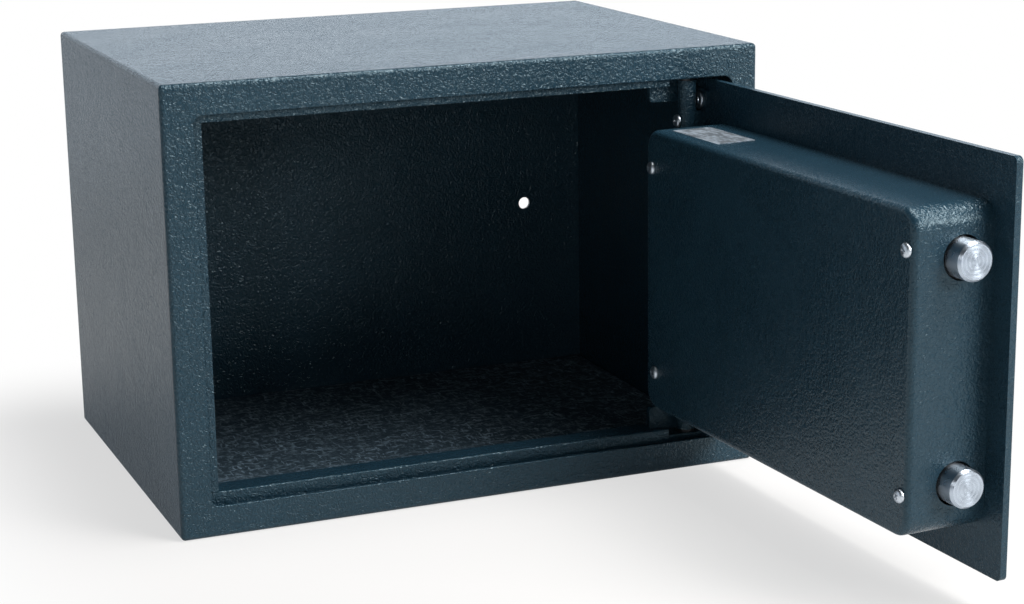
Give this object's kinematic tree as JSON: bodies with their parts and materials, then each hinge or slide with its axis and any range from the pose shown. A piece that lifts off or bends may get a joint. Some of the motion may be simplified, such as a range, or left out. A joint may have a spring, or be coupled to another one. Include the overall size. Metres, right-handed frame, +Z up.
{
  "type": "steel safe",
  "caption": "Small steel cabinet safe with an open hinged door, keypad, turning knob, emergency key lock and round sliding bolts.",
  "frame": {"origin": "centre of the base's underside", "axes": "+Z up, the front and its door face -Y, +X is the hinge side"},
  "size_m": [0.3668, 0.5267, 0.25],
  "materials": {
    "powder_coat": "textured",
    "zinc_steel": "satin",
    "chrome_steel": "polished",
    "felt": "matte",
    "silver_label": "satin",
    "black_plastic": "satin",
    "grey_key": "matte",
    "knob_metal": "satin",
    "brass_plug": "satin",
    "copper_wire": "satin",
    "circuit_green": "satin",
    "dark_component": "matte",
    "cell_wrap": "gloss",
    "red_lead": "satin",
    "clear_lens": "gloss"
  },
  "bodies": {
    "cabinet": {"body_wrap": "powder_coat", "back_panel": "powder_coat", "stop_rail_top": "powder_coat", "stop_rail_side": "powder_coat", "stop_rail_bottom": "powder_coat", "hinge_bracket_top": "powder_coat", "hinge_bracket_bottom": "powder_coat", "hinge_pins": "zinc_steel", "hinge_washers": "zinc_steel", "floor_mat": "felt"},
    "door": {"door_plate": "powder_coat", "hinge_knuckle_top": "powder_coat", "hinge_knuckle_bottom": "powder_coat", "hinge_screws": "zinc_steel", "hinge_nuts": "zinc_steel", "lock_cover": "powder_coat", "cover_screws": "zinc_steel", "cover_posts": "zinc_steel", "cover_label": "silver_label", "bolt_guide": "zinc_steel", "guide_posts": "zinc_steel", "keypad_fascia": "black_plastic", "fascia_screws": "zinc_steel", "keypad_board": "circuit_green", "led_lenses": "clear_lens", "spindle_bush": "brass_plug", "cylinder_body": "zinc_steel", "cylinder_clip": "zinc_steel", "solenoid_frame": "zinc_steel", "solenoid_coil": "copper_wire", "plunger_spring": "zinc_steel", "circuit_board": "circuit_green", "board_parts": "dark_component", "board_spacers": "black_plastic", "battery_case": "black_plastic", "batteries": "cell_wrap", "wire_leads": "red_lead"},
    "bolt_body": {"bolt_carriage": "zinc_steel", "bolt_upper": "chrome_steel", "bolt_lower": "chrome_steel", "bolt_screws": "zinc_steel"},
    "knob_body": {"turn_knob": "knob_metal", "knob_spindle": "zinc_steel", "crank_pin": "zinc_steel"},
    "plunger_body": {"lock_plunger": "zinc_steel"},
    "plug_body": {"key_plug": "brass_plug", "key_cam": "zinc_steel"},
    "cap_body": {"key_cap": "black_plastic"},
    "key_1_body": {"key_1": "grey_key"},
    "key_2_body": {"key_2": "grey_key"},
    "key_3_body": {"key_3": "grey_key"},
    "key_4_body": {"key_4": "grey_key"},
    "key_5_body": {"key_5": "grey_key"},
    "key_6_body": {"key_6": "grey_key"},
    "key_7_body": {"key_7": "grey_key"},
    "key_8_body": {"key_8": "grey_key"},
    "key_9_body": {"key_9": "grey_key"},
    "key_clear_body": {"key_clear": "grey_key"},
    "key_0_body": {"key_0": "grey_key"},
    "key_enter_body": {"key_enter": "grey_key"}
  },
  "joints": [
    {"name": "door_hinge", "type": "hinge", "parent": "cabinet", "child": "door", "pos_m": [0.1375, -0.11, 0.125], "axis": [0, 0, 1], "range_deg": [-92.5, 12.5]},
    {"name": "bolt_slide", "type": "slide", "parent": "door", "child": "bolt_body", "axis": [0.0436, -0.999, 0], "range_m": [0, 0.014]},
    {"name": "knob_turn", "type": "hinge", "parent": "door", "child": "knob_body", "pos_m": [0.18634, -0.31156, 0.112], "axis": [0.999, 0.0436, 0], "range_deg": [0, 70]},
    {"name": "plunger_drop", "type": "slide", "parent": "door", "child": "plunger_body", "axis": [0, 0, -1], "range_m": [0, 0.0042], "deforming": ["plunger_spring"]},
    {"name": "key_plug_turn", "type": "hinge", "parent": "door", "child": "plug_body", "pos_m": [0.1647, -0.27447, 0.159], "axis": [0.999, 0.0436, 0], "range_deg": [-90, 0]},
    {"name": "key_cap_swivel", "type": "hinge", "parent": "door", "child": "cap_body", "pos_m": [0.17269, -0.27412, 0.176], "axis": [0.999, 0.0436, 0], "range_deg": [0, 90]},
    {"name": "key_1_press", "type": "slide", "parent": "door", "child": "key_1_body", "axis": [-0.999, -0.0436, 0], "range_m": [0, 0.001], "stiffness_N_per_m": 400},
    {"name": "key_2_press", "type": "slide", "parent": "door", "child": "key_2_body", "axis": [-0.999, -0.0436, 0], "range_m": [0, 0.001], "stiffness_N_per_m": 400},
    {"name": "key_3_press", "type": "slide", "parent": "door", "child": "key_3_body", "axis": [-0.999, -0.0436, 0], "range_m": [0, 0.001], "stiffness_N_per_m": 400},
    {"name": "key_4_press", "type": "slide", "parent": "door", "child": "key_4_body", "axis": [-0.999, -0.0436, 0], "range_m": [0, 0.001], "stiffness_N_per_m": 400},
    {"name": "key_5_press", "type": "slide", "parent": "door", "child": "key_5_body", "axis": [-0.999, -0.0436, 0], "range_m": [0, 0.001], "stiffness_N_per_m": 400},
    {"name": "key_6_press", "type": "slide", "parent": "door", "child": "key_6_body", "axis": [-0.999, -0.0436, 0], "range_m": [0, 0.001], "stiffness_N_per_m": 400},
    {"name": "key_7_press", "type": "slide", "parent": "door", "child": "key_7_body", "axis": [-0.999, -0.0436, 0], "range_m": [0, 0.001], "stiffness_N_per_m": 400},
    {"name": "key_8_press", "type": "slide", "parent": "door", "child": "key_8_body", "axis": [-0.999, -0.0436, 0], "range_m": [0, 0.001], "stiffness_N_per_m": 400},
    {"name": "key_9_press", "type": "slide", "parent": "door", "child": "key_9_body", "axis": [-0.999, -0.0436, 0], "range_m": [0, 0.001], "stiffness_N_per_m": 400},
    {"name": "key_clear_press", "type": "slide", "parent": "door", "child": "key_clear_body", "axis": [-0.999, -0.0436, 0], "range_m": [0, 0.001], "stiffness_N_per_m": 400},
    {"name": "key_0_press", "type": "slide", "parent": "door", "child": "key_0_body", "axis": [-0.999, -0.0436, 0], "range_m": [0, 0.001], "stiffness_N_per_m": 400},
    {"name": "key_enter_press", "type": "slide", "parent": "door", "child": "key_enter_body", "axis": [-0.999, -0.0436, 0], "range_m": [0, 0.001], "stiffness_N_per_m": 400}
  ],
  "couplings": [
    {"joint": "knob_turn", "follows": "bolt_slide", "rad_per_m": 87.266}
  ]
}
